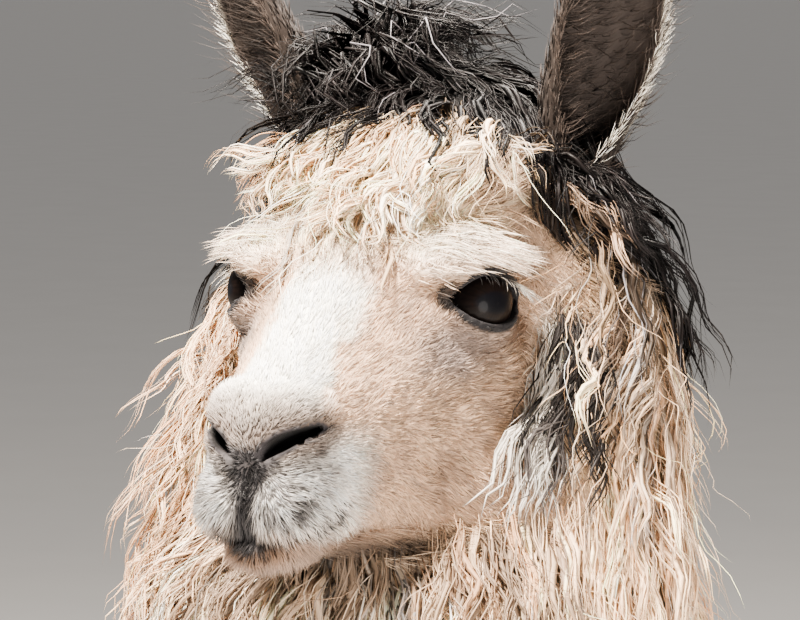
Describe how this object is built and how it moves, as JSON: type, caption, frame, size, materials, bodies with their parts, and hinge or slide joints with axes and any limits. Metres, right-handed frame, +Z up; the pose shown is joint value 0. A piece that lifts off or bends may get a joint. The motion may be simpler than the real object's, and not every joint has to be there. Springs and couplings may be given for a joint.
{
  "type": "llama model",
  "caption": "Life-size still model of a standing woolly llama with a pale face, dark crest and thick cream fleece, resting on its feet.",
  "frame": {"origin": "on the floor, under the middle of the animal's box", "axes": "+Z up; the llama faces -Y and its left side is +X"},
  "size_m": [0.4692, 1.3696, 1.7854],
  "materials": {
    "face_hair": "short soft hair, matt",
    "ear_hair": "short dark hair with a pale rim, matt",
    "fleece": "long wavy wool, matt with a soft sheen",
    "leg_hair": "short flat hair, matt",
    "eye": "wet gloss",
    "nail": "dull horn"
  },
  "bodies": {
    "root": {"head": "face_hair", "lower_jaw": "face_hair", "ear_left": "ear_hair", "ear_right": "ear_hair", "eye_left": "eye", "eye_right": "eye", "neck": "fleece", "trunk": "fleece", "tail": "fleece", "leg_front_left_upper": "leg_hair", "leg_front_left_lower": "leg_hair", "leg_front_right_upper": "leg_hair", "leg_front_right_lower": "leg_hair", "leg_hind_left_upper": "leg_hair", "leg_hind_left_lower": "leg_hair", "leg_hind_right_upper": "leg_hair", "leg_hind_right_lower": "leg_hair", "foot_front_left": "leg_hair", "foot_front_right": "leg_hair", "foot_hind_left": "leg_hair", "foot_hind_right": "leg_hair", "nail_front_left_inner": "nail", "nail_front_left_outer": "nail", "nail_front_right_inner": "nail", "nail_front_right_outer": "nail", "nail_hind_left_inner": "nail", "nail_hind_left_outer": "nail", "nail_hind_right_inner": "nail", "nail_hind_right_outer": "nail"}
  },
  "joints": []
}
